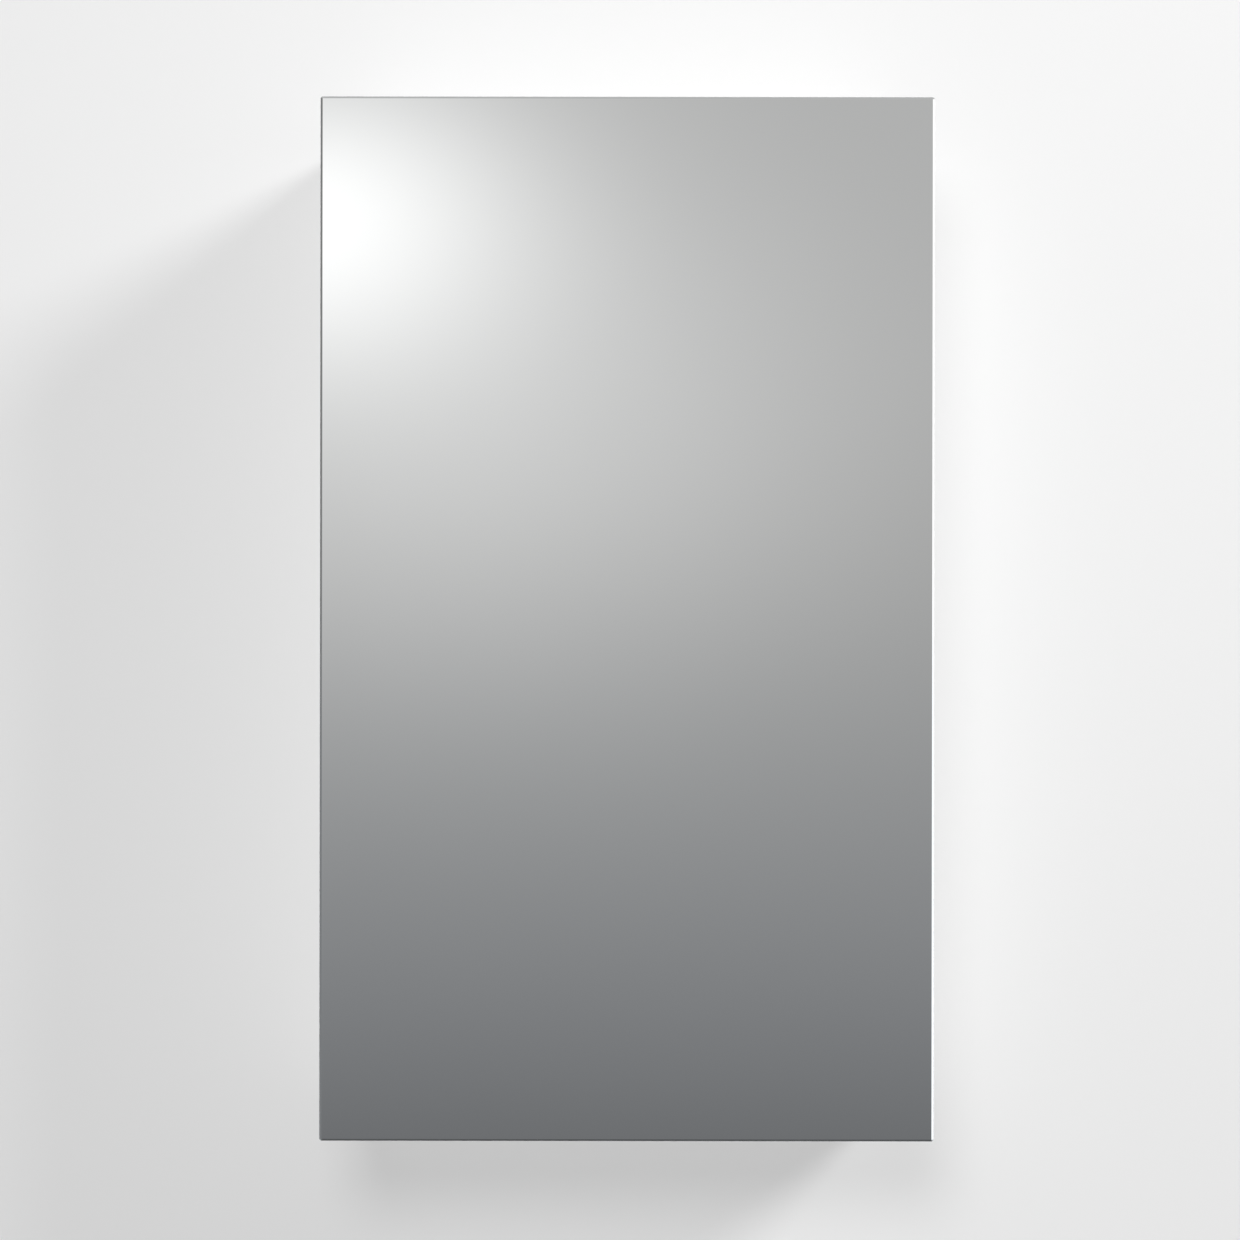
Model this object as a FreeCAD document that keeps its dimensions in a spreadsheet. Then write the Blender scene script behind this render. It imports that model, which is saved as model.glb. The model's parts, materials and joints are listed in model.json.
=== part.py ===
import FreeCAD, Part
import os
import Sketcher

# Wall-hung bathroom cabinet with one mirrored door.
# Frame: X to the viewer's right, -Y out of the wall, +Z up.
# The origin is the centre of the flat back, which lies on the wall plane y = 0.
# "Forward" below means the distance out of the wall, so y = -forward.

DIMS = {
    # case: lacquered boards round a flush back panel
    "case_wide": 387, "case_tall": 672, "case_deep": 117, "case_board": 15,
    "back_thick": 8, "back_lap": 9, "back_play": 0.2, "arris": 0.8,
    "wall_hole": 5.5, "wall_pitch_x": 320, "wall_pitch_z": 560,
    # dowels and cam fittings in the four corners
    "dowel_dia": 8, "dowel_long": 29.5, "dowel_sunk": 9.5, "dowel_bevel": 1,
    "hole_slack": 0.5, "column_rear": 30, "column_front": 88, "cam_column": 59,
    "cam_dia": 15, "cam_deep": 11.5, "cam_reach": 24, "cam_seat": 12,
    "bolt_dia": 6, "bolt_sunk": 9.5, "bolt_bevel": 1, "bolt_collar": 1, "bolt_sleeve": 4.6,
    "bolt_neck": 3.4, "bolt_neck_start": 8, "bolt_neck_bevel": 1, "bolt_head": 6.2,
    "bolt_head_thick": 2.4, "bolt_head_bevel": 0.6, "bolt_bore": 7,
    "cap_dia": 17, "cap_thick": 1, "cap_round": 0.7, "cap_stub": 5, "cap_stub_long": 3,
    "cap_stub_play": 0.4,
    # countersunk screws
    "screw_dia": 3, "screw_head": 5.8, "screw_sink": 1.2, "screw_long": 12, "screw_tip": 2,
    "sink_play": 0.15,
    "back_screw_dia": 3.5, "back_screw_head": 7, "back_screw_sink": 1.8, "back_screw_long": 20,
    "back_screw_pitch": 260, "back_screw_x": 90,
    "recess_deep": 0.9, "recess_wide": 0.8, "recess_rim": 1,
    # pan-head screws of the catch
    "pan_tall": 1.8, "pan_crown": 2.8, "pan_shoulder": 1.2, "pan_shoulder_in": 0.3,
    "pan_slot_long": 2.6,
    # shelves and their supports
    "shelf_thick": 6, "shelf_rear": 10, "shelf_front": 108, "shelf_play": 1.2, "shelf_arris": 0.7,
    "row_low": -176, "row_pitch": 160, "row_step": 32, "pin_dia": 5, "pin_sunk": 8.5,
    "pin_hole": 9, "pin_bevel": 0.5, "collar_dia": 8, "collar_thick": 1,
    "ledge_dia": 7, "ledge_long": 9, "ledge_top": 1.5, "pad_thick": 1, "pad_wide": 6, "pad_inset": 0.4,
    # door: board, tape and mirror
    "door_gap": 3, "door_board": 15, "tape_thick": 1, "tape_wide": 19, "tape_tall": 600,
    "tape_pitch": 82, "glass_thick": 4, "glass_wide": 400, "glass_tall": 680,
    "glass_corner": 1.5, "glass_bevel": 1.5, "glass_arris": 0.4,
    # three butt hinges on the left edge
    "axis_x": -196.7, "axis_forward": 118.5, "hinge_pitch": 250, "hinge_tall": 60,
    "leaf_thick": 1.2, "leaf_half_gap": 0.3, "leaf_root": 2.4, "leaf_clear": 3.4,
    "tongue_lap": 1,
    "case_leaf_reach": 16, "door_leaf_reach": 27, "leaf_corner": 2,
    "knuckle_dia": 6, "knuckle_pitch": 12, "knuckle_gap": 0.4,
    "pin_bore_tight": 3.6, "pin_bore_free": 3.7, "hinge_pin_head": 5,
    "hinge_pin_dome": 0.9, "hinge_pin_rim": 0.36, "hinge_pin_crown": 3.8,
    "case_screw_x": 9.7, "door_screw_x": 18, "hinge_screw_pitch": 36, "pilot_deep": 13,
    # magnetic catch and door bumpers
    "catch_z": 64, "catch_wide": 12, "catch_ear": 3, "catch_tall": 46, "catch_block": 26,
    "catch_rear": 96, "catch_front": 116.6, "catch_slot": 8, "catch_slot_tall": 22,
    "catch_slot_deep": 8, "pole_thick": 1, "pole_front": 118.4, "magnet_back": 0.6,
    "catch_screw_forward": 106, "catch_screw_pitch": 36, "strike_wide": 14,
    "strike_tall": 30, "strike_thick": 1.2, "strike_x": 172.5,
    "bumper_dia": 8, "bumper_thick": 2.5, "bumper_x": 186, "bumper_z": 300,
    "bumper_rim": 1, "bumper_shoulder": 2, "bumper_shoulder_dia": 6.4, "bumper_crown": 4,
}

doc = FreeCAD.newDocument("cabinet")
sheet = doc.addObject("Spreadsheet::Sheet", "dims")
for row, (alias, value) in enumerate(DIMS.items(), 1):
    sheet.set("A%d" % row, alias)
    sheet.set("B%d" % row, str(value))
    sheet.setAlias("B%d" % row, alias)
doc.recompute()

# Expressions shared by several parts
CASE_X = "dims.case_wide / 2"
CASE_Z = "dims.case_tall / 2"
INNER_X = "(dims.case_wide / 2 - dims.case_board)"
INNER_Z = "(dims.case_tall / 2 - dims.case_board)"
BOARD_MID_Z = "(dims.case_tall / 2 - dims.case_board / 2)"
LAP_MID_X = "(dims.case_wide / 2 - dims.case_board + dims.back_lap / 2)"
LAP_MID_Z = "(dims.case_tall / 2 - dims.case_board + dims.back_lap / 2)"
DOOR_REAR = "(dims.case_deep + dims.door_gap)"
TAPE_REAR = "(dims.case_deep + dims.door_gap + dims.door_board)"
GLASS_REAR = "(dims.case_deep + dims.door_gap + dims.door_board + dims.tape_thick)"
HINGE_NAMES = ("lower", "middle", "upper")
SHELF_NAMES = ("lower", "middle", "upper")
FRONT, SIDE, TOP = "XZ_Plane", "YZ_Plane", "XY_Plane"
CLOSE = 1e-4         # lengths nearer than this count as equal, mm
LEAST_CHANGE = 1e-6  # smallest volume a feature may add or remove, mm3
CUT_OVER = "1"       # how far a cutter runs past the face it leaves by, mm

nodes = []


def new_body(label):
    body = doc.addObject("PartDesign::Body", label)
    body.Label = label
    nodes.append(body)
    return body


def origin_part(body, role):
    return [item for item in body.Origin.OriginFeatures if item.Role == role][0]


def sketch_on(body, role, at=("0", "0", "0")):
    """Sketch on an origin plane, shifted by expressions given in that plane's own axes."""
    sketch = body.newObject("Sketcher::SketchObject", body.Label + "_sketch")
    sketch.AttachmentSupport = (origin_part(body, role), "")
    sketch.MapMode = "FlatFace"
    for axis, text in zip("xyz", at):
        if text != "0":
            sketch.setExpression(".AttachmentOffset.Base." + axis, text)
    return sketch


def drive(sketch, constraint, text):
    index = sketch.addConstraint(constraint)
    sketch.setExpression("Constraints[%d]" % index, text)


def polygon(sketch, corners):
    """Closed outline whose every corner is placed from the sketch origin by two expressions."""
    first = sketch.GeometryCount
    count = len(corners)
    spots = [FreeCAD.Vector(float(sketch.evalExpression(x)), float(sketch.evalExpression(y)), 0)
             for x, y in corners]
    for k in range(count):
        sketch.addGeometry(Part.LineSegment(spots[k], spots[(k + 1) % count]))
    for k in range(count):
        following = first + (k + 1) % count
        sketch.addConstraint(Sketcher.Constraint("Coincident", first + k, 2, following, 1))
    for k, (x, y) in enumerate(corners):
        drive(sketch, Sketcher.Constraint("DistanceX", -1, 1, first + k, 1, spots[k].x), x)
        drive(sketch, Sketcher.Constraint("DistanceY", -1, 1, first + k, 1, spots[k].y), y)


def rectangle(sketch, x0, x1, y0, y1):
    polygon(sketch, [(x0, y0), (x1, y0), (x1, y1), (x0, y1)])


def circle(sketch, x, y, diameter):
    centre = FreeCAD.Vector(float(sketch.evalExpression(x)), float(sketch.evalExpression(y)), 0)
    across = float(sketch.evalExpression(diameter))
    index = sketch.addGeometry(Part.Circle(centre, FreeCAD.Vector(0, 0, 1), across / 2))
    drive(sketch, Sketcher.Constraint("DistanceX", -1, 1, index, 3, centre.x), x)
    drive(sketch, Sketcher.Constraint("DistanceY", -1, 1, index, 3, centre.y), y)
    drive(sketch, Sketcher.Constraint("Diameter", index, across), diameter)


def settle(body, feature, grows):
    """Rebuild, make the feature the tip and insist that it changed the volume the right way."""
    body.Tip = feature
    doc.recompute()
    before = feature.BaseFeature.Shape.Volume if feature.BaseFeature else 0
    change = feature.Shape.Volume - before
    if (change > 0) != grows or abs(change) < LEAST_CHANGE:
        raise ValueError("%s changed %s by %.4f mm3" % (feature.Name, body.Label, change))
    return feature


def pad(body, sketch, length):
    feature = body.newObject("PartDesign::Pad", body.Label + "_pad")
    feature.Profile = sketch
    feature.setExpression("Length", length)
    return settle(body, feature, True)


def pocket(body, sketch, length, along_normal):
    """Cut from the sketch, with or against the sketch plane's normal."""
    feature = body.newObject("PartDesign::Pocket", body.Label + "_pocket")
    feature.Profile = sketch
    feature.Reversed = along_normal
    feature.setExpression("Length", length)
    return settle(body, feature, False)


def turn(body, sketch, axis, cuts=False):
    """Revolve the sketch about its own V_Axis or H_Axis, adding or cutting."""
    kind = "PartDesign::Groove" if cuts else "PartDesign::Revolution"
    feature = body.newObject(kind, body.Label + "_turn")
    feature.Profile = sketch
    feature.ReferenceAxis = (sketch, [axis])
    feature.Angle = 360
    return settle(body, feature, not cuts)


def repeat(body, axis, length, count, originals=None, cuts=False):
    """Repeat the whole body, or only the given features, along an origin axis."""
    feature = body.newObject("PartDesign::LinearPattern", body.Label + "_row")
    if originals:
        feature.Originals = originals
    else:
        feature.TransformMode = "Whole shape"
    feature.Direction = (origin_part(body, axis), [""])
    feature.setExpression("Length", length)
    feature.Occurrences = count
    return settle(body, feature, not cuts)


def mirror(body, role):
    feature = body.newObject("PartDesign::Mirrored", body.Label + "_mirror")
    feature.TransformMode = "Whole shape"
    feature.MirrorPlane = (origin_part(body, role), [""])
    return settle(body, feature, True)


def edges_where(shape, test):
    return ["Edge%d" % k for k, edge in enumerate(shape.Edges, 1) if test(edge.BoundBox)]


def ease(body, kind, size, test):
    """Chamfer or fillet every edge of the tip whose bounding box passes the test."""
    base = body.Tip
    feature = body.newObject("PartDesign::" + kind, body.Label + "_" + kind.lower())
    feature.Base = (base, edges_where(base.Shape, test))
    feature.setExpression("Radius" if kind == "Fillet" else "Size", size)
    return settle(body, feature, False)


def number(text):
    return float(sheet.evalExpression(text.replace("dims.", "")))


def slab(label, x0, x1, z0, z1, rear, thick):
    """Upright board: an X-Z outline padded forward from a distance off the wall."""
    body = new_body(label)
    sketch = sketch_on(body, FRONT, ("0", "0", rear))
    rectangle(sketch, x0, x1, z0, z1)
    pad(body, sketch, thick)
    return body


def flat_in(box, axis, value):
    low, high = getattr(box, axis + "Min"), getattr(box, axis + "Max")
    return abs(low - value) < CLOSE and abs(high - value) < CLOSE


def runs_forward(box):
    return box.YLength > box.XLength + box.ZLength


def screw_outline(sketch, sense, size, sink, head, length):
    """Half section of a countersunk screw: head face on the sketch origin, point along sense*y."""
    radius = size + " / 2"
    polygon(sketch, [
        ("0", "0"),
        (head + " / 2", "0"),
        (radius, "%s * %s" % (sense, sink)),
        (radius, "%s * (%s - dims.screw_tip)" % (sense, length)),
        ("0", "%s * %s" % (sense, length)),
    ])


def countersink(body, at, sense, size, sink, head, depth):
    """Seat for a countersunk screw, wider than the screw all round by the clearance."""
    sketch = sketch_on(body, TOP, at)
    rim, bore = head + " / 2 + dims.sink_play", size + " / 2 + dims.sink_play"
    polygon(sketch, [
        ("0", "0"),
        (rim, "0"),
        (bore, "%s * %s" % (sense, sink)),
        (bore, "%s * (%s)" % (sense, depth)),
        ("0", "%s * (%s)" % (sense, depth)),
    ])
    return turn(body, sketch, "V_Axis", cuts=True)


def cross_recess(body, x, z, forward, along_normal, head="dims.screw_head"):
    """Cross slot sunk in a screw head that faces along Y."""
    sketch = sketch_on(body, FRONT, (x, z, forward))
    arm, half = head + " / 2 - dims.recess_rim", "dims.recess_wide / 2"
    less_arm, less_half = "-(%s)" % arm, "-(%s)" % half
    polygon(sketch, [
        (less_arm, less_half), (less_half, less_half), (less_half, less_arm),
        (half, less_arm), (half, less_half), (arm, less_half),
        (arm, half), (half, half), (half, arm),
        (less_half, arm), (less_half, half), (less_arm, half),
    ])
    return pocket(body, sketch, "dims.recess_deep", along_normal)


SMALL_SCREW = ("dims.screw_dia", "dims.screw_sink", "dims.screw_head", "dims.screw_long")
BACK_SCREW = ("dims.back_screw_dia", "dims.back_screw_sink", "dims.back_screw_head",
              "dims.back_screw_long")

# ---------------------------------------------------------------- case boards


def side_board(label, hand):
    """hand is -1 for the left board and 1 for the right one."""
    outer, inner = "%d * %s" % (hand, CASE_X), "%d * %s" % (hand, INNER_X)
    body = slab(label, min(outer, inner, key=number), max(outer, inner, key=number),
                "-" + CASE_Z, CASE_Z, "0", "dims.case_deep")
    lap = "%d * (%s + dims.back_lap)" % (hand, INNER_X)
    sketch = sketch_on(body, FRONT)
    rectangle(sketch, min(lap, inner, key=number), max(lap, inner, key=number),
              "-(%s + dims.back_lap)" % INNER_Z, "%s + dims.back_lap" % INNER_Z)
    pocket(body, sketch, "dims.back_thick", True)

    holes = sketch_on(body, SIDE, ("0", "0", inner))
    for shelf in range(len(SHELF_NAMES)):
        for step in (-1, 0, 1):
            height = "dims.row_low + %d * dims.row_pitch + %d * dims.row_step" % (shelf, step)
            for column in ("dims.column_rear", "dims.column_front"):
                circle(holes, "-" + column, height, "dims.pin_dia")
    pocket(body, holes, "dims.pin_hole", hand > 0)

    joints = sketch_on(body, SIDE, ("0", "0", inner))
    bolts = sketch_on(body, SIDE, ("0", "0", inner))
    for end in ("", "-"):
        for column in ("dims.column_rear", "dims.column_front"):
            circle(joints, "-" + column, end + BOARD_MID_Z, "dims.dowel_dia")
        circle(bolts, "-dims.cam_column", end + BOARD_MID_Z, "dims.bolt_dia")
    pocket(body, joints, "dims.dowel_sunk + dims.hole_slack", hand > 0)
    pocket(body, bolts, "dims.bolt_sunk + dims.hole_slack", hand > 0)

    pilots = sketch_on(body, FRONT, ("0", "0", "dims.back_thick"))
    for row in (-1, 0, 1):
        circle(pilots, "%d * %s" % (hand, LAP_MID_X), "%d * dims.back_screw_pitch" % row,
               "dims.back_screw_dia")
    pocket(body, pilots, "dims.back_screw_long - dims.back_thick + dims.hole_slack", True)
    return body


def soften_outer(body, axis, value):
    """Take the arris off the long edges of the outer face at the given coordinate."""
    ease(body, "Fillet", "dims.arris", lambda box: flat_in(box, axis, value))


left = side_board("side_left", -1)
hinge_pilots = sketch_on(left, FRONT, ("0", "0", "dims.case_deep"))
for hinge in (-1, 0, 1):
    for end in (-1, 1):
        circle(hinge_pilots, "dims.axis_x + dims.case_screw_x",
               "%d * dims.hinge_pitch + %d * dims.hinge_screw_pitch / 2" % (hinge, end),
               "dims.screw_dia")
pocket(left, hinge_pilots, "dims.pilot_deep", False)
soften_outer(left, "X", -number(CASE_X))

right = side_board("side_right", 1)
catch_pilots = sketch_on(right, SIDE, ("0", "0", INNER_X))
for end in (-1, 1):
    circle(catch_pilots, "-dims.catch_screw_forward",
           "dims.catch_z + %d * dims.catch_screw_pitch / 2" % end, "dims.screw_dia")
pocket(right, catch_pilots, "dims.screw_long - dims.catch_ear + dims.hole_slack", True)
soften_outer(right, "X", number(CASE_X))


def end_board(label, hand):
    """hand is 1 for the top board and -1 for the bottom one."""
    outer, inner = "%d * %s" % (hand, CASE_Z), "%d * %s" % (hand, INNER_Z)
    body = slab(label, "-" + INNER_X, INNER_X, min(outer, inner, key=number),
                max(outer, inner, key=number), "0", "dims.case_deep")
    lap = "%d * (%s + dims.back_lap)" % (hand, INNER_Z)
    sketch = sketch_on(body, FRONT)
    rectangle(sketch, "-" + INNER_X, INNER_X, min(lap, inner, key=number),
              max(lap, inner, key=number))
    pocket(body, sketch, "dims.back_thick", True)
    for side in (-1, 1):
        end_face = ("0", "0", "%d * %s" % (side, INNER_X))
        holes = sketch_on(body, SIDE, end_face)
        for column in ("dims.column_rear", "dims.column_front"):
            circle(holes, "-" + column, "%d * %s" % (hand, BOARD_MID_Z), "dims.dowel_dia")
        pocket(body, holes, "dims.dowel_long - dims.dowel_sunk + dims.hole_slack", side < 0)
        bore = sketch_on(body, SIDE, end_face)
        circle(bore, "-dims.cam_column", "%d * %s" % (hand, BOARD_MID_Z), "dims.bolt_bore")
        pocket(body, bore, "dims.cam_reach", side < 0)
    seats = sketch_on(body, TOP, ("0", "0", outer))
    for side in ("", "-"):
        circle(seats, "%s(%s - dims.cam_reach)" % (side, INNER_X), "-dims.cam_column",
               "dims.cam_dia")
    pocket(body, seats, "dims.cam_seat", hand < 0)
    pilots = sketch_on(body, FRONT, ("0", "0", "dims.back_thick"))
    for side in ("", "-"):
        circle(pilots, side + "dims.back_screw_x", "%d * %s" % (hand, LAP_MID_Z),
               "dims.back_screw_dia")
    pocket(body, pilots, "dims.back_screw_long - dims.back_thick + dims.hole_slack", True)
    return body


end_board("top_panel", 1)
end_board("bottom_panel", -1)

LAP_X = "(%s + dims.back_lap - dims.back_play)" % INNER_X
LAP_Z = "(%s + dims.back_lap - dims.back_play)" % INNER_Z
back = slab("back_panel", "-" + LAP_X, LAP_X, "-" + LAP_Z, LAP_Z, "0", "dims.back_thick")
wall_holes = sketch_on(back, FRONT)
for x in ("dims.wall_pitch_x / 2", "-dims.wall_pitch_x / 2"):
    for z in ("dims.wall_pitch_z / 2", "-dims.wall_pitch_z / 2"):
        circle(wall_holes, x, z, "dims.wall_hole")
pocket(back, wall_holes, "dims.back_thick", True)
for x, z, pitch, count in (
        (LAP_MID_X, "-dims.back_screw_pitch", "2 * dims.back_screw_pitch", 3),
        ("-" + LAP_MID_X, "-dims.back_screw_pitch", "2 * dims.back_screw_pitch", 3),
        ("dims.back_screw_x", "-" + LAP_MID_Z, "2 * " + LAP_MID_Z, 2),
        ("-dims.back_screw_x", "-" + LAP_MID_Z, "2 * " + LAP_MID_Z, 2)):
    sunk = countersink(back, (x, "0", z), "-1", *BACK_SCREW[:3], "dims.back_thick")
    repeat(back, "Z_Axis", pitch, count, originals=[sunk], cuts=True)

# ---------------------------------------------------------------- corner joinery

dowels = new_body("dowels")
sketch = sketch_on(dowels, TOP, (INNER_X, "-dims.column_front", BOARD_MID_Z))
bevel, radius = "dims.dowel_bevel", "dims.dowel_dia / 2"
tail = "dims.dowel_sunk - dims.dowel_long"
polygon(sketch, [
    (tail, "0"), ("dims.dowel_sunk", "0"), ("dims.dowel_sunk", radius + " - " + bevel),
    ("dims.dowel_sunk - " + bevel, radius), (tail + " + " + bevel, radius),
    (tail, radius + " - " + bevel),
])
turn(dowels, sketch, "H_Axis")
repeat(dowels, "Y_Axis", "dims.column_front - dims.column_rear", 2)
mirror(dowels, SIDE)
mirror(dowels, TOP)

cam_bolts = new_body("cam_bolts")
sketch = sketch_on(cam_bolts, TOP, (INNER_X, "-dims.cam_column", BOARD_MID_Z))
polygon(sketch, [
    ("dims.bolt_sunk", "0"), ("dims.bolt_sunk", "dims.bolt_dia / 2 - dims.bolt_bevel"),
    ("dims.bolt_sunk - dims.bolt_bevel", "dims.bolt_dia / 2"),
    ("-dims.bolt_collar", "dims.bolt_dia / 2"), ("-dims.bolt_collar", "dims.bolt_sleeve / 2"),
    ("dims.bolt_neck_start - dims.cam_reach", "dims.bolt_sleeve / 2"),
    ("dims.bolt_neck_start - dims.bolt_neck_bevel - dims.cam_reach", "dims.bolt_neck / 2"),
    ("dims.bolt_head_thick + dims.bolt_head_bevel - dims.cam_reach", "dims.bolt_neck / 2"),
    ("dims.bolt_head_thick - dims.cam_reach", "dims.bolt_head / 2"),
    ("-dims.cam_reach", "dims.bolt_head / 2"), ("-dims.cam_reach", "0"),
])
turn(cam_bolts, sketch, "H_Axis")
mirror(cam_bolts, SIDE)
mirror(cam_bolts, TOP)

CAM_X = "(%s - dims.cam_reach)" % INNER_X
cam_locks = new_body("cam_locks")
sketch = sketch_on(cam_locks, TOP, ("0", "0", CASE_Z + " - dims.cam_seat"))
circle(sketch, CAM_X, "-dims.cam_column", "dims.cam_dia")
pad(cam_locks, sketch, "dims.cam_deep")
sketch = sketch_on(cam_locks, SIDE, ("0", "0", INNER_X))
circle(sketch, "-dims.cam_column", BOARD_MID_Z, "dims.bolt_bore")
pocket(cam_locks, sketch, "dims.cam_reach + dims.bolt_head / 2", False)
sketch = sketch_on(cam_locks, TOP, ("0", "0", CASE_Z + " - dims.cam_seat + dims.cam_deep"))
circle(sketch, CAM_X, "-dims.cam_column", "dims.cap_stub + dims.cap_stub_play")
pocket(cam_locks, sketch, "dims.cap_stub_long", False)
mirror(cam_locks, SIDE)
mirror(cam_locks, TOP)

cam_caps = new_body("cam_caps")
sketch = sketch_on(cam_caps, TOP, ("0", "0", CASE_Z))
circle(sketch, CAM_X, "-dims.cam_column", "dims.cap_dia")
pad(cam_caps, sketch, "dims.cap_thick")
top_of_cap = number(CASE_Z) + DIMS["cap_thick"]
ease(cam_caps, "Fillet", "dims.cap_round", lambda box: flat_in(box, "Z", top_of_cap))
sketch = sketch_on(cam_caps, TOP, ("0", "0", CASE_Z + " - dims.cap_stub_long"))
circle(sketch, CAM_X, "-dims.cam_column", "dims.cap_stub")
pad(cam_caps, sketch, "dims.cap_stub_long")
mirror(cam_caps, SIDE)
mirror(cam_caps, TOP)

back_screws = new_body("back_panel_screws")
for x, z, pitch, count in (
        (LAP_MID_X, "-dims.back_screw_pitch", "2 * dims.back_screw_pitch", 3),
        ("dims.back_screw_x", "-" + LAP_MID_Z, "2 * " + LAP_MID_Z, 2)):
    sketch = sketch_on(back_screws, TOP, (x, "0", z))
    screw_outline(sketch, "-1", *BACK_SCREW)
    screw = turn(back_screws, sketch, "V_Axis")
    recess = cross_recess(back_screws, x, z, "0", True, BACK_SCREW[2])
    repeat(back_screws, "Z_Axis", pitch, count, originals=[screw, recess])
mirror(back_screws, SIDE)

# ---------------------------------------------------------------- shelves

ROW_RISE = "(dims.ledge_top + dims.pad_thick)"
for shelf, name in enumerate(SHELF_NAMES):
    base = "dims.row_low + %d * dims.row_pitch + %s" % (shelf, ROW_RISE)
    half = "(%s - dims.shelf_play)" % INNER_X
    body = slab("shelf_" + name, "-" + half, half, base, base + " + dims.shelf_thick",
                "dims.shelf_rear", "dims.shelf_front - dims.shelf_rear")
    ease(body, "Chamfer", "dims.shelf_arris", lambda box: True)

supports = new_body("shelf_supports")
sketch = sketch_on(supports, TOP, (INNER_X, "-dims.column_front", "dims.row_low"))
polygon(sketch, [
    ("dims.pin_sunk", "0"), ("dims.pin_sunk", "dims.pin_dia / 2 - dims.pin_bevel"),
    ("dims.pin_sunk - dims.pin_bevel", "dims.pin_dia / 2"), ("0", "dims.pin_dia / 2"),
    ("0", "dims.collar_dia / 2"), ("-dims.collar_thick", "dims.collar_dia / 2"),
    ("-dims.collar_thick", "dims.ledge_dia / 2"),
    ("dims.pin_bevel - dims.ledge_long", "dims.ledge_dia / 2"),
    ("-dims.ledge_long", "dims.ledge_dia / 2 - dims.pin_bevel"), ("-dims.ledge_long", "0"),
])
turn(supports, sketch, "H_Axis")
sketch = sketch_on(supports, TOP, (INNER_X, "-dims.column_front", "dims.row_low + dims.ledge_top"))
rectangle(sketch, "-dims.ledge_long - " + CUT_OVER, "-dims.collar_thick", "-dims.ledge_dia",
          "dims.ledge_dia")
pocket(supports, sketch, "dims.ledge_dia", True)
repeat(supports, "Y_Axis", "dims.column_front - dims.column_rear", 2)
repeat(supports, "Z_Axis", "2 * dims.row_pitch", 3)
mirror(supports, SIDE)

pads = new_body("shelf_pads")
sketch = sketch_on(pads, TOP, (INNER_X, "-dims.column_front", "dims.row_low + dims.ledge_top"))
rectangle(sketch, "dims.pad_inset - dims.ledge_long", "-dims.collar_thick - dims.pad_inset",
          "-dims.pad_wide / 2", "dims.pad_wide / 2")
pad(pads, sketch, "dims.pad_thick")
repeat(pads, "Y_Axis", "dims.column_front - dims.column_rear", 2)
repeat(pads, "Z_Axis", "2 * dims.row_pitch", 3)
mirror(pads, SIDE)

# ---------------------------------------------------------------- door

door = slab("door_board", "-" + CASE_X, CASE_X, "-" + CASE_Z, CASE_Z, DOOR_REAR,
            "dims.door_board")
pilots = sketch_on(door, FRONT, ("0", "0", DOOR_REAR))
for hinge in (-1, 0, 1):
    for end in (-1, 1):
        circle(pilots, "dims.axis_x + dims.door_screw_x",
               "%d * dims.hinge_pitch + %d * dims.hinge_screw_pitch / 2" % (hinge, end),
               "dims.screw_dia")
circle(pilots, "dims.strike_x", "dims.catch_z", "dims.screw_dia")
pocket(door, pilots, "dims.screw_long - dims.screw_sink + dims.hole_slack", True)
door_rear_y = -number(DOOR_REAR)
door_span = DIMS["case_wide"] - CLOSE
ease(door, "Fillet", "dims.arris",
     lambda box: flat_in(box, "Y", door_rear_y) and max(box.XLength, box.ZLength) > door_span)

tape = new_body("mirror_tape")
sketch = sketch_on(tape, FRONT, ("0", "0", TAPE_REAR))
rectangle(sketch, "-2 * dims.tape_pitch - dims.tape_wide / 2",
          "-2 * dims.tape_pitch + dims.tape_wide / 2", "-dims.tape_tall / 2", "dims.tape_tall / 2")
pad(tape, sketch, "dims.tape_thick")
repeat(tape, "X_Axis", "4 * dims.tape_pitch", 5)

glass = slab("mirror_glass", "-dims.glass_wide / 2", "dims.glass_wide / 2",
             "-dims.glass_tall / 2", "dims.glass_tall / 2", GLASS_REAR, "dims.glass_thick")
glass_rear_y = -number(GLASS_REAR)
glass_front_y = glass_rear_y - DIMS["glass_thick"]
ease(glass, "Fillet", "dims.glass_corner", runs_forward)
ease(glass, "Chamfer", "dims.glass_bevel", lambda box: flat_in(box, "Y", glass_front_y))
ease(glass, "Chamfer", "dims.glass_arris", lambda box: flat_in(box, "Y", glass_rear_y))

# ---------------------------------------------------------------- hinges

KNUCKLES = {"case": 3, "door": 2}


def place_on_axis(body, row):
    body.setExpression(".Placement.Base.x", "dims.axis_x")
    body.setExpression(".Placement.Base.y", "-dims.axis_forward")
    body.setExpression(".Placement.Base.z", "%d * dims.hinge_pitch" % row)
    doc.recompute()


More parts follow.
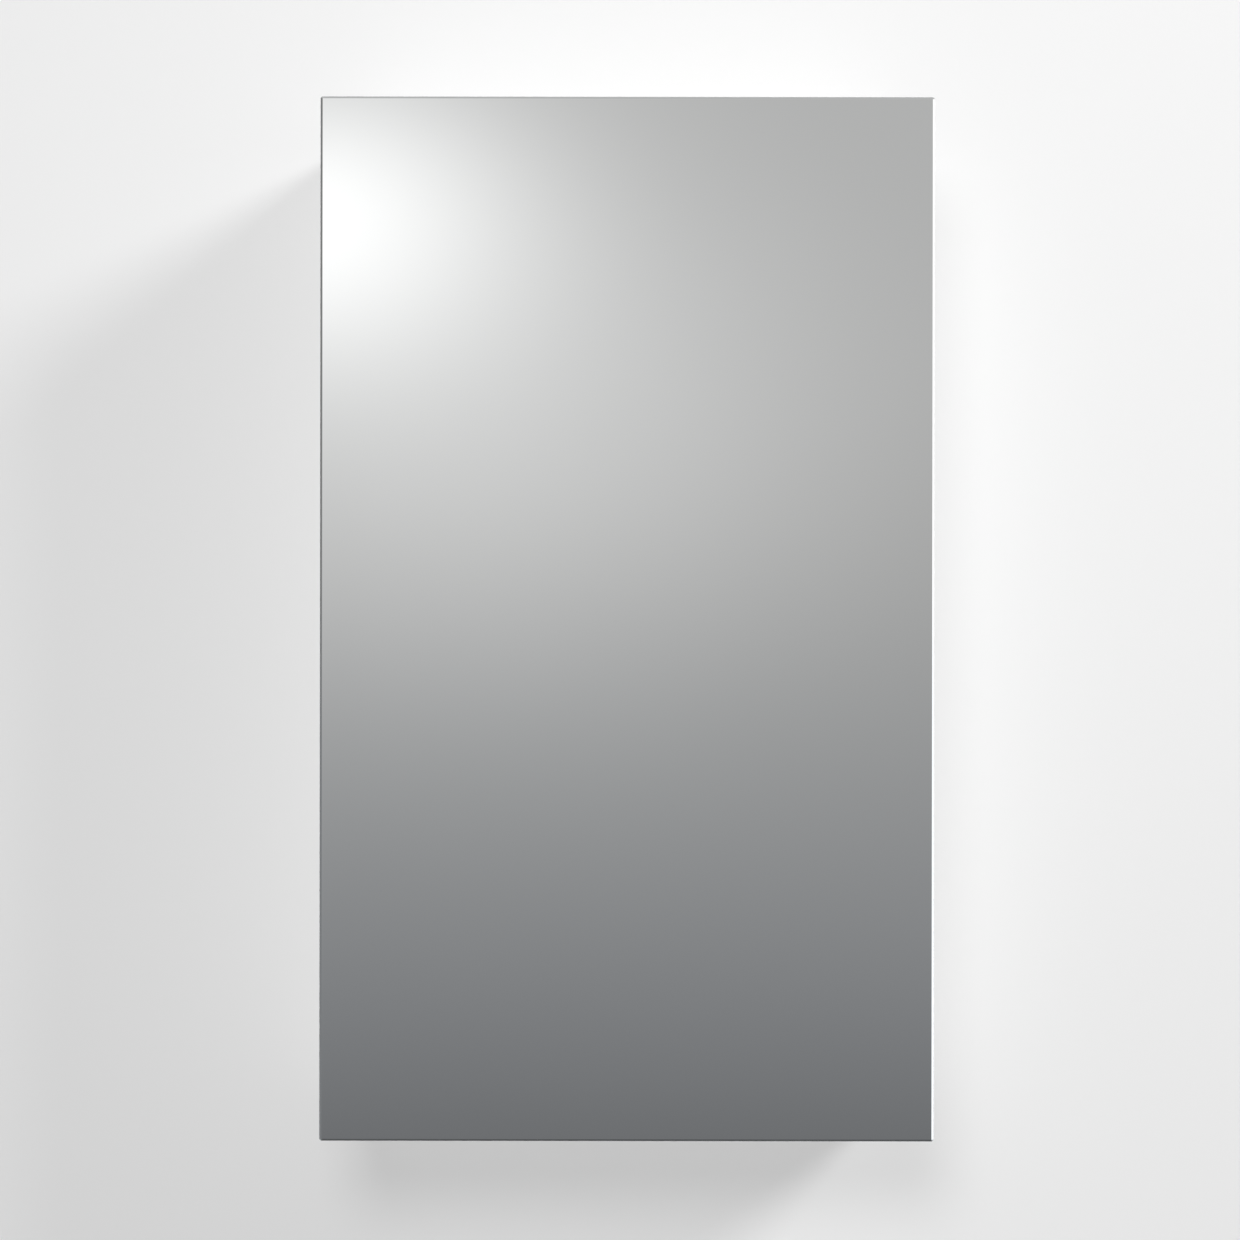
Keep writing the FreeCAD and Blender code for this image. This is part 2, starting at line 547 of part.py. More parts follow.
def hinge_leaf(label, owner, row):
    """One leaf with its knuckles, drawn about the hinge axis and then put on it."""
    body = new_body(label)
    on_case = owner == "case"
    inner_face = "-dims.leaf_half_gap" if on_case else "dims.leaf_half_gap"
    rear = "-dims.leaf_half_gap - dims.leaf_thick" if on_case else "dims.leaf_half_gap"
    reach = "dims.%s_leaf_reach" % owner
    start = "-dims.hinge_tall / 2 + %d * dims.knuckle_pitch" % (0 if on_case else 1)
    base = sketch_on(body, FRONT, ("0", "0", rear))
    rectangle(base, "dims.leaf_clear", reach, "-dims.hinge_tall / 2", "dims.hinge_tall / 2")
    pad(body, base, "dims.leaf_thick")
    far = DIMS["%s_leaf_reach" % owner]
    ease(body, "Fillet", "dims.leaf_corner",
         lambda box: runs_forward(box) and flat_in(box, "X", far))

    low = start + " + dims.knuckle_gap / 2"
    high = start + " + dims.knuckle_pitch - dims.knuckle_gap / 2"
    tongue = sketch_on(body, FRONT, ("0", "0", rear))
    rectangle(tongue, "dims.leaf_root", "dims.leaf_clear + dims.tongue_lap", low, high)
    tongue_pad = pad(body, tongue, "dims.leaf_thick")
    ring = sketch_on(body, TOP, ("0", "0", low))
    circle(ring, "0", "0", "dims.knuckle_dia")
    circle(ring, "0", "0", "dims.pin_bore_tight" if on_case else "dims.pin_bore_free")
    ring_pad = pad(body, ring, "dims.knuckle_pitch - dims.knuckle_gap")
    count = KNUCKLES[owner]
    repeat(body, "Z_Axis", "%d * dims.knuckle_pitch" % (2 * (count - 1)), count,
           originals=[tongue_pad, ring_pad])

    # Countersinks open on the face that meets the other leaf.
    sunk = countersink(body, ("dims.%s_screw_x" % owner, "-(%s)" % inner_face,
                              "-dims.hinge_screw_pitch / 2"),
                       "1" if on_case else "-1", *SMALL_SCREW[:3], "dims.leaf_thick + " + CUT_OVER)
    repeat(body, "Z_Axis", "dims.hinge_screw_pitch", 2, originals=[sunk], cuts=True)
    place_on_axis(body, row)


for row, name in zip((-1, 0, 1), HINGE_NAMES):
    hinge_leaf("hinge_%s_case_leaf" % name, "case", row)
    hinge_leaf("hinge_%s_door_leaf" % name, "door", row)
    pin = new_body("hinge_%s_pin" % name)
    sketch = sketch_on(pin, FRONT)
    tight, head, end = "dims.pin_bore_tight / 2", "dims.hinge_pin_head / 2", "dims.hinge_tall / 2"
    upper_half = [
        (tight, end), (head, end), (head, end + " + dims.hinge_pin_rim"),
        ("dims.hinge_pin_crown / 2", end + " + dims.hinge_pin_dome"),
        ("0", end + " + dims.hinge_pin_dome"),
    ]
    polygon(sketch, [(x, "-(%s)" % z) for x, z in reversed(upper_half)] + upper_half)
    turn(pin, sketch, "V_Axis")
    place_on_axis(pin, row)

for owner, sense, face, along in (
        ("case", "1", "dims.axis_forward - dims.leaf_half_gap", False),
        ("door", "-1", "dims.axis_forward + dims.leaf_half_gap", True)):
    screws = new_body("hinge_%s_screws" % owner)
    x = "dims.axis_x + dims.%s_screw_x" % owner
    z = "-dims.hinge_pitch - dims.hinge_screw_pitch / 2"
    sketch = sketch_on(screws, TOP, (x, "-(%s)" % face, z))
    screw_outline(sketch, sense, *SMALL_SCREW)
    turn(screws, sketch, "V_Axis")
    cross_recess(screws, x, z, face, along)
    repeat(screws, "Z_Axis", "dims.hinge_screw_pitch", 2)
    repeat(screws, "Z_Axis", "2 * dims.hinge_pitch", 3)

# ---------------------------------------------------------------- magnetic catch and bumpers

housing = new_body("catch_housing")
for thick, tall in (("dims.catch_ear", "dims.catch_tall"), ("dims.catch_wide", "dims.catch_block")):
    sketch = sketch_on(housing, FRONT, ("0", "0", "dims.catch_rear"))
    rectangle(sketch, "%s - %s" % (INNER_X, thick), INNER_X,
              "dims.catch_z - %s / 2" % tall, "dims.catch_z + %s / 2" % tall)
    pad(housing, sketch, "dims.catch_front - dims.catch_rear")
sketch = sketch_on(housing, FRONT, ("0", "0", "dims.catch_front"))
SLOT_MID = "(%s - dims.catch_wide / 2)" % INNER_X
rectangle(sketch, SLOT_MID + " - dims.catch_slot / 2", SLOT_MID + " + dims.catch_slot / 2",
          "dims.catch_z - dims.catch_slot_tall / 2", "dims.catch_z + dims.catch_slot_tall / 2")
pocket(housing, sketch, "dims.catch_slot_deep", False)
sketch = sketch_on(housing, SIDE, ("0", "0", "%s - dims.catch_ear" % INNER_X))
for end in (-1, 1):
    circle(sketch, "-dims.catch_screw_forward",
           "dims.catch_z + %d * dims.catch_screw_pitch / 2" % end, "dims.screw_dia")
pocket(housing, sketch, "dims.catch_ear", True)

SLOT_LOW = "dims.catch_z - dims.catch_slot_tall / 2"
SLOT_HIGH = "dims.catch_z + dims.catch_slot_tall / 2"
SLOT_FLOOR = "(dims.catch_front - dims.catch_slot_deep)"
poles = new_body("catch_pole_plates")
sketch = sketch_on(poles, FRONT, ("0", "0", SLOT_FLOOR))
for low, high in (("-dims.catch_slot / 2", "dims.pole_thick - dims.catch_slot / 2"),
                  ("dims.catch_slot / 2 - dims.pole_thick", "dims.catch_slot / 2")):
    rectangle(sketch, "%s + %s" % (SLOT_MID, low), "%s + %s" % (SLOT_MID, high),
              SLOT_LOW, SLOT_HIGH)
pad(poles, sketch, "dims.pole_front - " + SLOT_FLOOR)
slab("catch_magnet", SLOT_MID + " - dims.catch_slot / 2 + dims.pole_thick",
     SLOT_MID + " + dims.catch_slot / 2 - dims.pole_thick", SLOT_LOW, SLOT_HIGH, SLOT_FLOOR,
     "dims.pole_front - dims.magnet_back - " + SLOT_FLOOR)

catch_screws = new_body("catch_screws")
sketch = sketch_on(catch_screws, TOP, ("%s - dims.catch_ear" % INNER_X,
                                       "-dims.catch_screw_forward",
                                       "dims.catch_z - dims.catch_screw_pitch / 2"))
polygon(sketch, [
    ("-dims.pan_tall", "0"), ("-dims.pan_tall", "dims.pan_crown / 2"),
    ("-dims.pan_shoulder", "dims.screw_head / 2 - dims.pan_shoulder_in"),
    ("0", "dims.screw_head / 2"), ("0", "dims.screw_dia / 2"),
    ("dims.screw_long - dims.screw_tip", "dims.screw_dia / 2"), ("dims.screw_long", "0"),
])
turn(catch_screws, sketch, "H_Axis")
sketch = sketch_on(catch_screws, SIDE, ("-dims.catch_screw_forward",
                                        "dims.catch_z - dims.catch_screw_pitch / 2",
                                        "%s - dims.catch_ear - dims.pan_tall" % INNER_X))
rectangle(sketch, "-dims.pan_slot_long / 2", "dims.pan_slot_long / 2", "-dims.recess_wide / 2",
          "dims.recess_wide / 2")
pocket(catch_screws, sketch, "dims.recess_deep", True)
repeat(catch_screws, "Z_Axis", "dims.catch_screw_pitch", 2)

strike = slab("strike_plate", "dims.strike_x - dims.strike_wide / 2",
              "dims.strike_x + dims.strike_wide / 2", "dims.catch_z - dims.strike_tall / 2",
              "dims.catch_z + dims.strike_tall / 2", DOOR_REAR + " - dims.strike_thick",
              "dims.strike_thick")
ease(strike, "Fillet", "dims.leaf_corner", runs_forward)
STRIKE_FACE = "%s - dims.strike_thick" % DOOR_REAR
countersink(strike, ("dims.strike_x", "-(%s)" % STRIKE_FACE, "dims.catch_z"), "-1",
            *SMALL_SCREW[:3], "dims.strike_thick + " + CUT_OVER)
strike_screw = new_body("strike_screw")
sketch = sketch_on(strike_screw, TOP, ("dims.strike_x", "-(%s)" % STRIKE_FACE, "dims.catch_z"))
screw_outline(sketch, "-1", *SMALL_SCREW)
turn(strike_screw, sketch, "V_Axis")
cross_recess(strike_screw, "dims.strike_x", "dims.catch_z", STRIKE_FACE, True)

bumpers = new_body("door_bumpers")
sketch = sketch_on(bumpers, TOP, ("dims.bumper_x", "-dims.case_deep", "-dims.bumper_z"))
polygon(sketch, [
    ("0", "0"), ("dims.bumper_dia / 2", "0"), ("dims.bumper_dia / 2", "-dims.bumper_rim"),
    ("dims.bumper_shoulder_dia / 2", "-dims.bumper_shoulder"),
    ("dims.bumper_crown / 2", "-dims.bumper_thick"), ("0", "-dims.bumper_thick"),
])
turn(bumpers, sketch, "V_Axis")
repeat(bumpers, "Z_Axis", "2 * dims.bumper_z", 2)

# ---------------------------------------------------------------- checks and export

doc.recompute()
for item in doc.Objects:
    if "Invalid" in item.State or "Error" in item.State:
        raise ValueError("%s is in state %s" % (item.Name, item.State))
os.makedirs("parts", exist_ok=True)
for body in nodes:
    if body.Shape.isNull() or not body.Shape.isValid():
        raise ValueError("%s has no valid shape" % body.Label)
    body.Shape.exportStep("parts/%s.step" % body.Label)
    print(body.Label, len(body.Shape.Solids), body.Shape.BoundBox)
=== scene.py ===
import json
import math

import bmesh
import bpy
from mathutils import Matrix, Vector

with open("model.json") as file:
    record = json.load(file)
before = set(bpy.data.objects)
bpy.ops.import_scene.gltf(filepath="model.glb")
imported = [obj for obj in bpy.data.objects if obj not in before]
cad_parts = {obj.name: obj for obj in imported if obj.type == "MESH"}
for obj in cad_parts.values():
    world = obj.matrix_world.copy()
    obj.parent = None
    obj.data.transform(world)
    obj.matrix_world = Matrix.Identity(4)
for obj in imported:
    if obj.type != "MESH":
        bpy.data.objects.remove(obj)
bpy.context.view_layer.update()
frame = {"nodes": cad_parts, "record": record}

# A wall-hung mirror cabinet in a pale studio, in metres.
# The wall is the plane y = 0 and the mirror faces -Y.

CAMERA_PLACE = (-0.0046, -1.74, -0.0007)
CAMERA_LENS = 71.4
CAMERA_SENSOR = 36.0
CAMERA_ROLL = math.radians(-0.08)
METAL_SHARE = 0.75

WALL_CLEARANCE = 0.0005
WALL_HALF_WIDTH = 4.0
WALL_TOP = 2.6
FLOOR_LEVEL = -1.15
FLOOR_DEPTH = 3.2

# Even light on every surface, extra from the far left, extra from beyond the wall plane,
# and the plain background that the camera sees past the stage
AMBIENT = 0.075
SIDE_GLOW = 0.38
WALL_GLOW = 0.62
BACKGROUND = 0.8
LIGHTS = {
    # place, diameter, power, whether glossy surfaces show it
    "key": ((3.04, -1.68, 2.32), 1.23, 86.0, True),
    "front": ((-0.15, -4.4, 0.05), 0.4, 95.0, False),
    "overhead": ((-0.35, -2.8, 1.15), 1.0, 19.0, False),
}

# ---------------------------------------------------------------- node helpers


class Tree:
    """Short hand for building one node tree."""

    def __init__(self, tree):
        self.tree = tree
        tree.nodes.clear()

    def node(self, kind, **settings):
        made = self.tree.nodes.new(kind)
        for name, value in settings.items():
            setattr(made, name, value)
        return made

    def link(self, source, target):
        self.tree.links.new(source, target)

    def feed(self, socket, value):
        """Link a socket to another node's output, or set it to a plain value."""
        if isinstance(value, bpy.types.NodeSocket):
            self.link(value, socket)
        else:
            socket.default_value = value

    def math(self, operation, *values):
        made = self.node("ShaderNodeMath", operation=operation)
        for socket, value in zip(made.inputs, values):
            self.feed(socket, value)
        return made.outputs[0]

    def smooth(self, value, low, high, to_low=0.0, to_high=1.0):
        made = self.node("ShaderNodeMapRange", interpolation_type="SMOOTHSTEP")
        numbers = (value, low, high, to_low, to_high)
        for name, number in zip(("Value", "From Min", "From Max", "To Min", "To Max"), numbers):
            self.feed(made.inputs[name], number)
        return made.outputs["Result"]

    def mix(self, factor, first, second):
        made = self.node("ShaderNodeMix", data_type="RGBA")
        self.feed(made.inputs["Factor"], factor)
        self.feed(made.inputs["A"], first)
        self.feed(made.inputs["B"], second)
        return made.outputs["Result"]

    def blend_value(self, factor, first, second):
        made = self.node("ShaderNodeMix", data_type="FLOAT")
        self.feed(made.inputs["Factor"], factor)
        self.feed(made.inputs["A"], first)
        self.feed(made.inputs["B"], second)
        return made.outputs["Result"]

    def noise(self, coordinates, scale, detail=3.0, roughness=0.5, stretch=(1, 1, 1)):
        """3-D noise on the given coordinates; scale is in waves per metre."""
        mapping = self.node("ShaderNodeMapping")
        mapping.inputs["Scale"].default_value = stretch
        self.link(coordinates, mapping.inputs["Vector"])
        made = self.node("ShaderNodeTexNoise")
        self.link(mapping.outputs["Vector"], made.inputs["Vector"])
        made.inputs["Scale"].default_value = scale
        made.inputs["Detail"].default_value = detail
        made.inputs["Roughness"].default_value = roughness
        return made.outputs["Fac"]

    def bump(self, height, strength, distance, under=None):
        made = self.node("ShaderNodeBump")
        made.inputs["Strength"].default_value = strength
        made.inputs["Distance"].default_value = distance
        self.link(height, made.inputs["Height"])
        if under is not None:
            self.link(under, made.inputs["Normal"])
        return made.outputs["Normal"]


class Finish(Tree):
    """A material with one Principled shader; sockets take numbers, colours or node outputs."""

    def __init__(self, name):
        self.material = bpy.data.materials.new(name)
        self.material.use_nodes = True
        super().__init__(self.material.node_tree)
        self.shader = self.node("ShaderNodeBsdfPrincipled")
        self.output = self.node("ShaderNodeOutputMaterial")
        self.link(self.shader.outputs["BSDF"], self.output.inputs["Surface"])
        where = self.node("ShaderNodeTexCoord")
        self.place = where.outputs["Object"]
        self.facing = where.outputs["Normal"]

    def set(self, **sockets):
        for name, value in sockets.items():
            self.feed(self.shader.inputs[name.replace("_", " ")], value)
        return self


def grey(level, tint=(0.0, 0.0, 0.0)):
    return tuple(level + shift for shift in tint) + (1.0,)


# ---------------------------------------------------------------- finishes


def lacquer():
    """Sprayed satin white: faint orange peel, soft cloudiness and a slightly duller, worn sheen."""
    finish = Finish("white_lacquer")
    cloud = finish.noise(finish.place, 5.0, detail=4.0)
    speck = finish.noise(finish.place, 160.0, detail=2.0)
    tone = finish.mix(cloud, grey(0.67, (0.0, 0.0, -0.012)), grey(0.73, (0.0, 0.002, 0.0)))
    tone = finish.mix(finish.smooth(speck, 0.68, 0.8, 0.0, 0.25), tone, grey(0.60))
    peel = finish.noise(finish.place, 700.0, detail=1.5)
    wave = finish.noise(finish.place, 90.0, detail=1.0)
    normal = finish.bump(wave, 0.10, 0.0004)
    normal = finish.bump(peel, 0.10, 0.00006, under=normal)
    rough = finish.smooth(finish.noise(finish.place, 24.0, detail=5.0), 0.3, 0.7, 0.30, 0.42)
    return finish.set(Base_Color=tone, Roughness=rough, Normal=normal, Coat_Weight=0.15,
                      Coat_Roughness=0.2).material


def back_board():
    """Painted fibreboard: flatter and more matt than the lacquer, with a felted grain."""
    finish = Finish("painted_fibreboard")
    fibre = finish.noise(finish.place, 420.0, detail=5.0, stretch=(1, 1, 0.35))
    cloud = finish.noise(finish.place, 7.0, detail=3.0)
    tone = finish.mix(cloud, grey(0.68, (0.0, -0.002, -0.02)), grey(0.74))
    tone = finish.mix(finish.smooth(fibre, 0.55, 0.75, 0.0, 0.3), tone, grey(0.62))
    rough = finish.smooth(fibre, 0.3, 0.7, 0.5, 0.66)
    return finish.set(Base_Color=tone, Roughness=rough,
                      Normal=finish.bump(fibre, 0.18, 0.0001)).material


def mirror():
    """Silvered float glass: mirror on the front and bevel, green glass edge, grey paint behind."""
    finish = Finish("silvered_glass")
    split = finish.node("ShaderNodeSeparateXYZ")
    finish.link(finish.facing, split.inputs[0])
    toward_wall = split.outputs["Y"]
    is_front = finish.smooth(toward_wall, -0.92, -0.98)
    is_reflecting = finish.smooth(toward_wall, -0.35, -0.5)
    is_rear = finish.smooth(toward_wall, 0.8, 0.95)

    haze = finish.noise(finish.place, 9.0, detail=6.0)
    smear = finish.noise(finish.place, 30.0, detail=4.0, stretch=(1, 1, 0.3))
    silver = finish.mix(haze, grey(0.945, (0.0, 0.008, 0.004)), grey(0.965, (0.0, 0.008, 0.004)))
    bevel = finish.mix(smear, grey(0.80, (0.0, 0.02, 0.015)), grey(0.9, (0.0, 0.01, 0.01)))
    ripple = finish.noise(finish.place, 260.0, detail=3.0)
    edge = finish.mix(ripple, (0.16, 0.30, 0.25, 1), (0.30, 0.46, 0.40, 1))
    paint = finish.mix(smear, grey(0.30, (0.0, 0.004, 0.012)), grey(0.38, (0.0, 0.004, 0.01)))
    tone = finish.mix(is_reflecting, edge, bevel)
    tone = finish.mix(is_front, tone, silver)
    tone = finish.mix(is_rear, tone, paint)

    film = finish.smooth(smear, 0.35, 0.75, 0.012, 0.03)
    ground = finish.smooth(ripple, 0.3, 0.7, 0.10, 0.2)
    rough = finish.blend_value(is_front, ground, film)
    rough = finish.blend_value(is_rear, rough, 0.55)
    return finish.set(Base_Color=tone, Metallic=is_reflecting, Roughness=rough,
                      Normal=finish.bump(ripple, 0.02, 0.00002)).material


def shelf_glass():
    """Tempered glass: clear through the faces, green and finely ground along the edges."""
    finish = Finish("shelf_glass")
    split = finish.node("ShaderNodeSeparateXYZ")
    finish.link(finish.facing, split.inputs[0])
    flat = finish.math("ABSOLUTE", split.outputs["Z"])
    is_edge = finish.smooth(flat, 0.9, 0.4)
    print_marks = finish.noise(finish.place, 40.0, detail=5.0)
    grind = finish.noise(finish.place, 900.0, detail=2.0)
    tone = finish.mix(is_edge, (0.93, 0.98, 0.96, 1), (0.45, 0.72, 0.62, 1))
    clear = finish.smooth(print_marks, 0.45, 0.8, 0.02, 0.09)
    ground = finish.smooth(grind, 0.3, 0.7, 0.12, 0.26)
    rough = finish.blend_value(is_edge, clear, ground)
    return finish.set(Base_Color=tone, Roughness=rough, Transmission_Weight=1.0, IOR=1.52,
                      Normal=finish.bump(grind, 0.03, 0.00003)).material


def metal(name, dark, light, low, high, grain=(1, 1, 1), scale=500.0):
    """Plated or cast metal, its tones and roughness given as pairs: mottled plating, fine grain
    and a few duller patches."""
    finish = Finish(name)
    fine = finish.noise(finish.place, scale, detail=4.0, stretch=grain)
    patch = finish.noise(finish.place, 60.0, detail=4.0)
    tone = finish.mix(patch, dark, light)
    rough = finish.smooth(fine, 0.3, 0.7, low, high)
    worn = finish.smooth(patch, 0.55, 0.75, 0.0, 0.1)
    rough = finish.math("ADD", rough, worn)
    return finish.set(Base_Color=tone, Metallic=METAL_SHARE, Roughness=rough,
                      Normal=finish.bump(fine, 0.06, 0.00005)).material


def moulded(name, dark, light, low, high, strength=0.12, see_through=0.0):
    """Moulded plastic, rubber or ferrite: fine spark texture and uneven sheen."""
    finish = Finish(name)
    spark = finish.noise(finish.place, 1400.0, detail=2.0)
    cloud = finish.noise(finish.place, 50.0, detail=4.0)
    tone = finish.mix(cloud, dark, light)
    rough = finish.smooth(cloud, 0.3, 0.7, low, high)
    finish.set(Base_Color=tone, Roughness=rough, Normal=finish.bump(spark, strength, 0.00008))
    if see_through:
        finish.set(Transmission_Weight=see_through, IOR=1.43)
    return finish.material


def beech():
    """Turned beech with the grain along the dowel."""
    finish = Finish("beech_dowel")
    grain = finish.noise(finish.place, 300.0, detail=5.0, stretch=(0.08, 1, 1))
    tone = finish.mix(finish.smooth(grain, 0.35, 0.65), (0.42, 0.25, 0.13, 1), (0.60, 0.40, 0.23, 1))
    rough = finish.smooth(grain, 0.3, 0.7, 0.55, 0.7)
    return finish.set(Base_Color=tone, Roughness=rough,
                      Normal=finish.bump(grain, 0.3, 0.0002)).material


FINISHES = {
    "lacquer": lacquer(),
    "back_board": back_board(),
    "mirror_face": mirror(),
    "shelf_glass": shelf_glass(),
    "dowel_wood": beech(),
    "zinc_steel": metal("zinc_plate", grey(0.68, (0, 0, 0.02)), grey(0.80, (0, 0, 0.03)), 0.24, 0.36),
    "zinc_cast": metal("cast_zinc", grey(0.42), grey(0.52), 0.42, 0.55, scale=900.0),
    "hinge_steel": metal("nickel_plate", grey(0.73, (0.02, 0.01, 0)), grey(0.79, (0.02, 0.01, 0)),
                         0.24, 0.34, grain=(1, 1, 0.05), scale=2200.0),
    "cap_plastic": moulded("white_plastic", grey(0.76), grey(0.82), 0.38, 0.5),
    "clear_rubber": moulded("clear_rubber", grey(0.72), grey(0.82), 0.3, 0.45, see_through=0.6),
    "foam_tape": moulded("foam_tape", grey(0.68), grey(0.78), 0.7, 0.85, strength=0.4),
    "magnet": moulded("ferrite", grey(0.03), grey(0.06), 0.45, 0.6, strength=0.25),
}

for row in frame["record"]["subparts"]:
    data = frame["nodes"][row["node"]].data
    data.materials.clear()
    data.materials.append(FINISHES[row["material_slot"]])

# ---------------------------------------------------------------- stage


def stage_plane(name, corners, finish):
    mesh = bpy.data.meshes.new(name)
    built = bmesh.new()
    built.faces.new([built.verts.new(corner) for corner in corners])
    built.to_mesh(mesh)
    built.free()
    mesh.materials.append(finish)
    plane = bpy.data.objects.new(name, mesh)
    bpy.context.scene.collection.objects.link(plane)
    plane.visible_diffuse = False
    plane.visible_glossy = False
    plane.visible_transmission = False
    plane.visible_shadow = False


def studio_paint(name, dark, light):
    """Matt paint seen from the front only, so that the cabinet's back can be looked at."""
    finish = Finish(name)
    cloud = finish.noise(finish.place, 1.6, detail=3.0)
    roller = finish.noise(finish.place, 220.0, detail=3.0)
    finish.set(Base_Color=finish.mix(cloud, dark, light), Roughness=0.75,
               Normal=finish.bump(roller, 0.05, 0.0002))
    behind = finish.node("ShaderNodeNewGeometry")
    clear = finish.node("ShaderNodeBsdfTransparent")
    choose = finish.node("ShaderNodeMixShader")
    finish.link(behind.outputs["Backfacing"], choose.inputs["Fac"])
    finish.link(finish.shader.outputs["BSDF"], choose.inputs[1])
    finish.link(clear.outputs["BSDF"], choose.inputs[2])
    finish.link(choose.outputs["Shader"], finish.output.inputs["Surface"])
    return finish.material


wall_paint = studio_paint("wall_paint", grey(0.86), grey(0.88))
floor_paint = studio_paint("floor_paint", grey(0.58), grey(0.62))
stage_plane("studio_wall", [
    (-WALL_HALF_WIDTH, WALL_CLEARANCE, FLOOR_LEVEL),
    (WALL_HALF_WIDTH, WALL_CLEARANCE, FLOOR_LEVEL),
    (WALL_HALF_WIDTH, WALL_CLEARANCE, WALL_TOP),
    (-WALL_HALF_WIDTH, WALL_CLEARANCE, WALL_TOP),
], wall_paint)
stage_plane("studio_floor", [
    (-WALL_HALF_WIDTH, -FLOOR_DEPTH, FLOOR_LEVEL),
    (WALL_HALF_WIDTH, -FLOOR_DEPTH, FLOOR_LEVEL),
    (WALL_HALF_WIDTH, WALL_CLEARANCE, FLOOR_LEVEL),
    (-WALL_HALF_WIDTH, WALL_CLEARANCE, FLOOR_LEVEL),
], floor_paint)

# ---------------------------------------------------------------- light


def soft_disc(name, place, across, power, in_mirror):
    """A round soft light facing the middle of the cabinet's back."""
    data = bpy.data.lights.new(name, "AREA")
    data.shape = "DISK"
    data.size = across
    data.energy = power
    light = bpy.data.objects.new(name, data)
    light.location = place
    light.rotation_mode = "QUATERNION"
    light.rotation_quaternion = (-Vector(place)).to_track_quat("-Z", "Y")
    light.visible_glossy = in_mirror
    bpy.context.scene.collection.objects.link(light)


for name, facts in LIGHTS.items():
    soft_disc(name + "_light", *facts)

# What glossy surfaces see of the studio, by direction: a grey room that darkens and cools
# downwards, a soft lamp high on the left with a wider halo, a bright right side, a dim left
# one, a paler ceiling and a dark patch straight below. The level, slope and curve describe
# brightness against upward slope, held constant outside HELD_RISE. Away from the middle it
# settles to ROOM_FAR, or to FLOOR_FAR low down.
ROOM_LEVEL, ROOM_SLOPE, ROOM_CURVE = 0.34, 0.65, -0.92
HELD_RISE = (-0.225, 0.33)
LEAST_AHEAD = 0.15
ROOM_FAR, FLOOR_FAR = 0.42, 0.60
CEILING, UNDERFOOT = 0.52, 0.10
RIGHT_SIDE, FAR_RIGHT, LEFT_SIDE = 0.62, 1.25, 0.22
NEUTRAL, COOL = (1.0, 1.0, 1.0, 1.0), (0.97, 1.0, 1.045, 1.0)
GLOWS = (
    # strength, sideways and upward slope of its centre, its sideways and upward spread
    (0.53, -0.132, 0.167, 0.091, 0.062),
    (0.25, -0.080, 0.081, 0.173, 0.109),
)


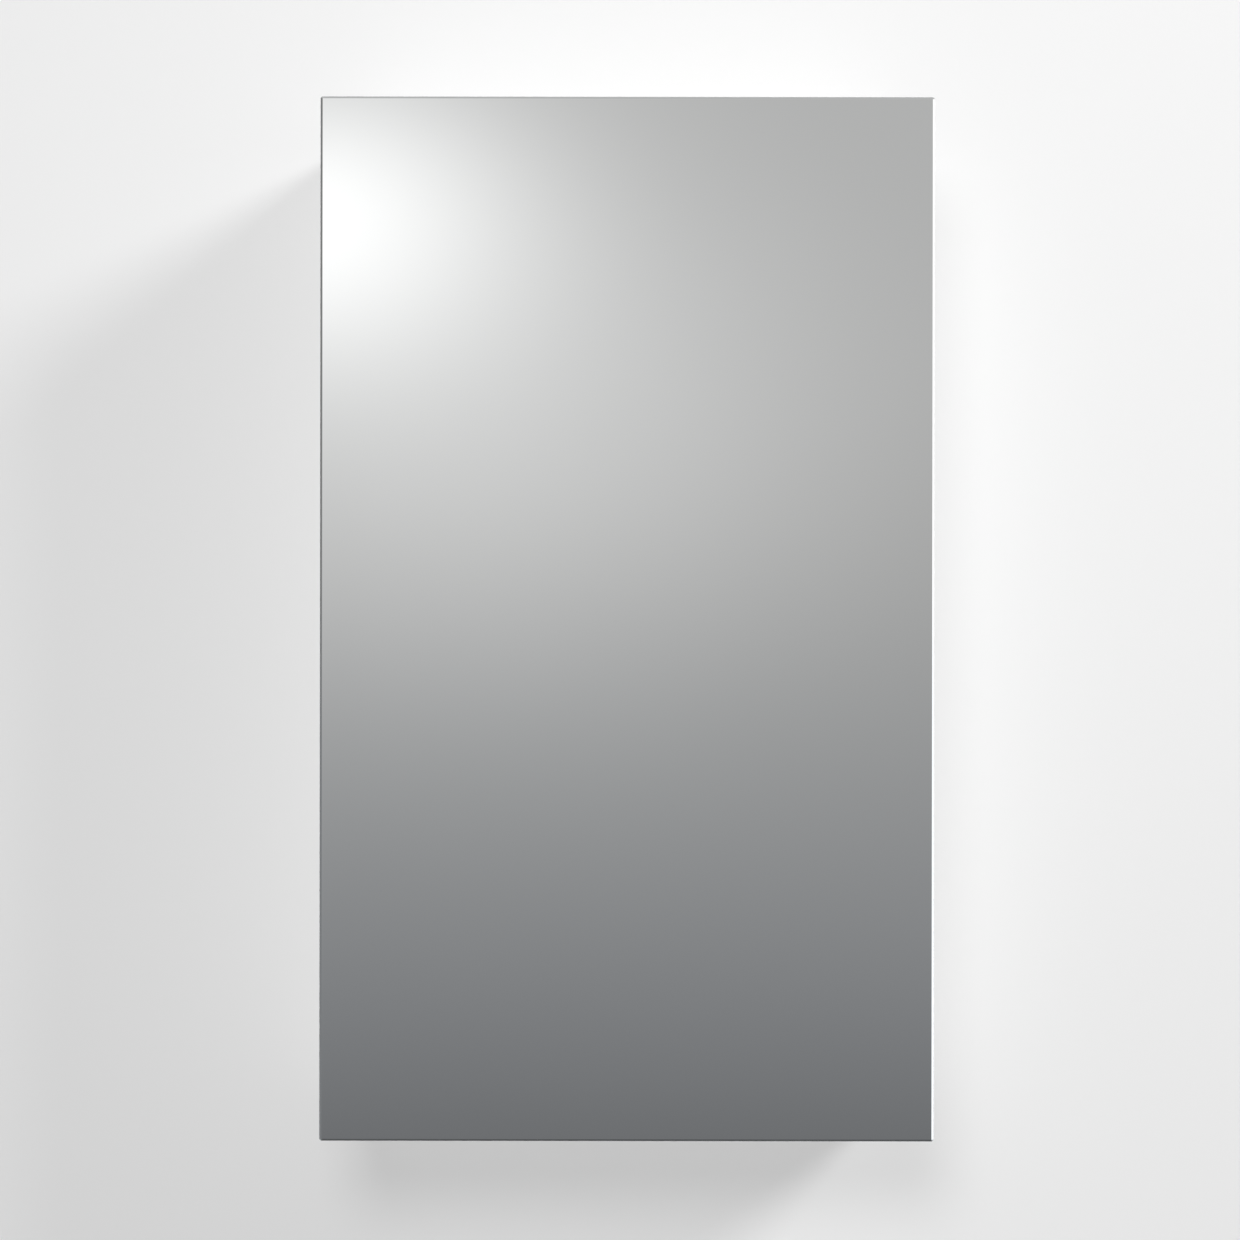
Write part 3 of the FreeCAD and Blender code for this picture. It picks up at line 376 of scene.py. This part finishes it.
def studio_world():
    world = bpy.data.worlds.new("studio")
    world.use_nodes = True
    bpy.context.scene.world = world
    tree = Tree(world.node_tree)
    direction = tree.node("ShaderNodeTexCoord").outputs["Generated"]
    split = tree.node("ShaderNodeSeparateXYZ")
    tree.link(direction, split.inputs[0])
    x, y, z = split.outputs
    ahead = tree.math("MAXIMUM", tree.math("MULTIPLY", y, -1.0), LEAST_AHEAD)
    across = tree.math("DIVIDE", x, ahead)
    rise = tree.math("DIVIDE", z, ahead)
    held = tree.math("MAXIMUM", tree.math("MINIMUM", rise, HELD_RISE[1]), HELD_RISE[0])
    room = tree.math("MULTIPLY_ADD", held, ROOM_CURVE, ROOM_SLOPE)
    room = tree.math("MULTIPLY_ADD", held, room, ROOM_LEVEL)
    for strength, centre_x, centre_z, spread_x, spread_z in GLOWS:
        off_x = tree.math("DIVIDE", tree.math("SUBTRACT", across, centre_x), spread_x)
        off_z = tree.math("DIVIDE", tree.math("SUBTRACT", rise, centre_z), spread_z)
        reach = tree.math("ADD", tree.math("MULTIPLY", off_x, off_x),
                          tree.math("MULTIPLY", off_z, off_z))
        fade = tree.math("EXPONENT", tree.math("MULTIPLY", reach, -1.0))
        room = tree.math("MULTIPLY_ADD", fade, strength, room)
    beside = tree.smooth(z, -0.16, -0.27, ROOM_FAR, FLOOR_FAR)
    outside = tree.math("MAXIMUM", tree.smooth(tree.math("ABSOLUTE", across), 0.19, 0.55),
                        tree.smooth(z, -0.24, -0.45))
    room = tree.blend_value(outside, room, beside)
    room = tree.blend_value(tree.smooth(z, 0.5, 0.95), room, CEILING)
    room = tree.blend_value(tree.smooth(z, -0.75, -0.97), room, UNDERFOOT)
    room = tree.blend_value(tree.smooth(x, 0.35, 0.8), room, RIGHT_SIDE)
    room = tree.blend_value(tree.smooth(x, 0.9, 0.98), room, FAR_RIGHT)
    room = tree.blend_value(tree.smooth(x, -0.45, -0.95), room, LEFT_SIDE)

    glossy = tree.node("ShaderNodeBackground")
    tree.link(room, glossy.inputs["Strength"])
    cast = tree.mix(tree.smooth(rise, 0.05, -0.22), NEUTRAL, COOL)
    tree.link(cast, glossy.inputs["Color"])
    # Light from behind the wall plane stands for the pale wall's own bounce.
    path = tree.node("ShaderNodeLightPath")
    soft = tree.smooth(y, -0.05, 0.2, AMBIENT, WALL_GLOW)
    soft = tree.math("ADD", soft, tree.smooth(x, -0.55, -0.95, 0.0, SIDE_GLOW))
    soft = tree.blend_value(path.outputs["Is Camera Ray"], soft, BACKGROUND)
    plain = tree.node("ShaderNodeBackground")
    tree.link(soft, plain.inputs["Color"])
    choose = tree.node("ShaderNodeMixShader")
    output = tree.node("ShaderNodeOutputWorld")
    tree.link(path.outputs["Is Glossy Ray"], choose.inputs["Fac"])
    tree.link(plain.outputs["Background"], choose.inputs[1])
    tree.link(glossy.outputs["Background"], choose.inputs[2])
    tree.link(choose.outputs["Shader"], output.inputs["Surface"])


studio_world()

# ---------------------------------------------------------------- camera

camera_data = bpy.data.cameras.new("camera")
camera_data.sensor_width = CAMERA_SENSOR
camera_data.lens = CAMERA_LENS
camera = bpy.data.objects.new("camera", camera_data)
camera.location = CAMERA_PLACE
camera.rotation_euler = (math.radians(90), CAMERA_ROLL, 0)
bpy.context.scene.collection.objects.link(camera)
bpy.context.scene.camera = camera
bpy.context.scene.view_settings.view_transform = "Standard"
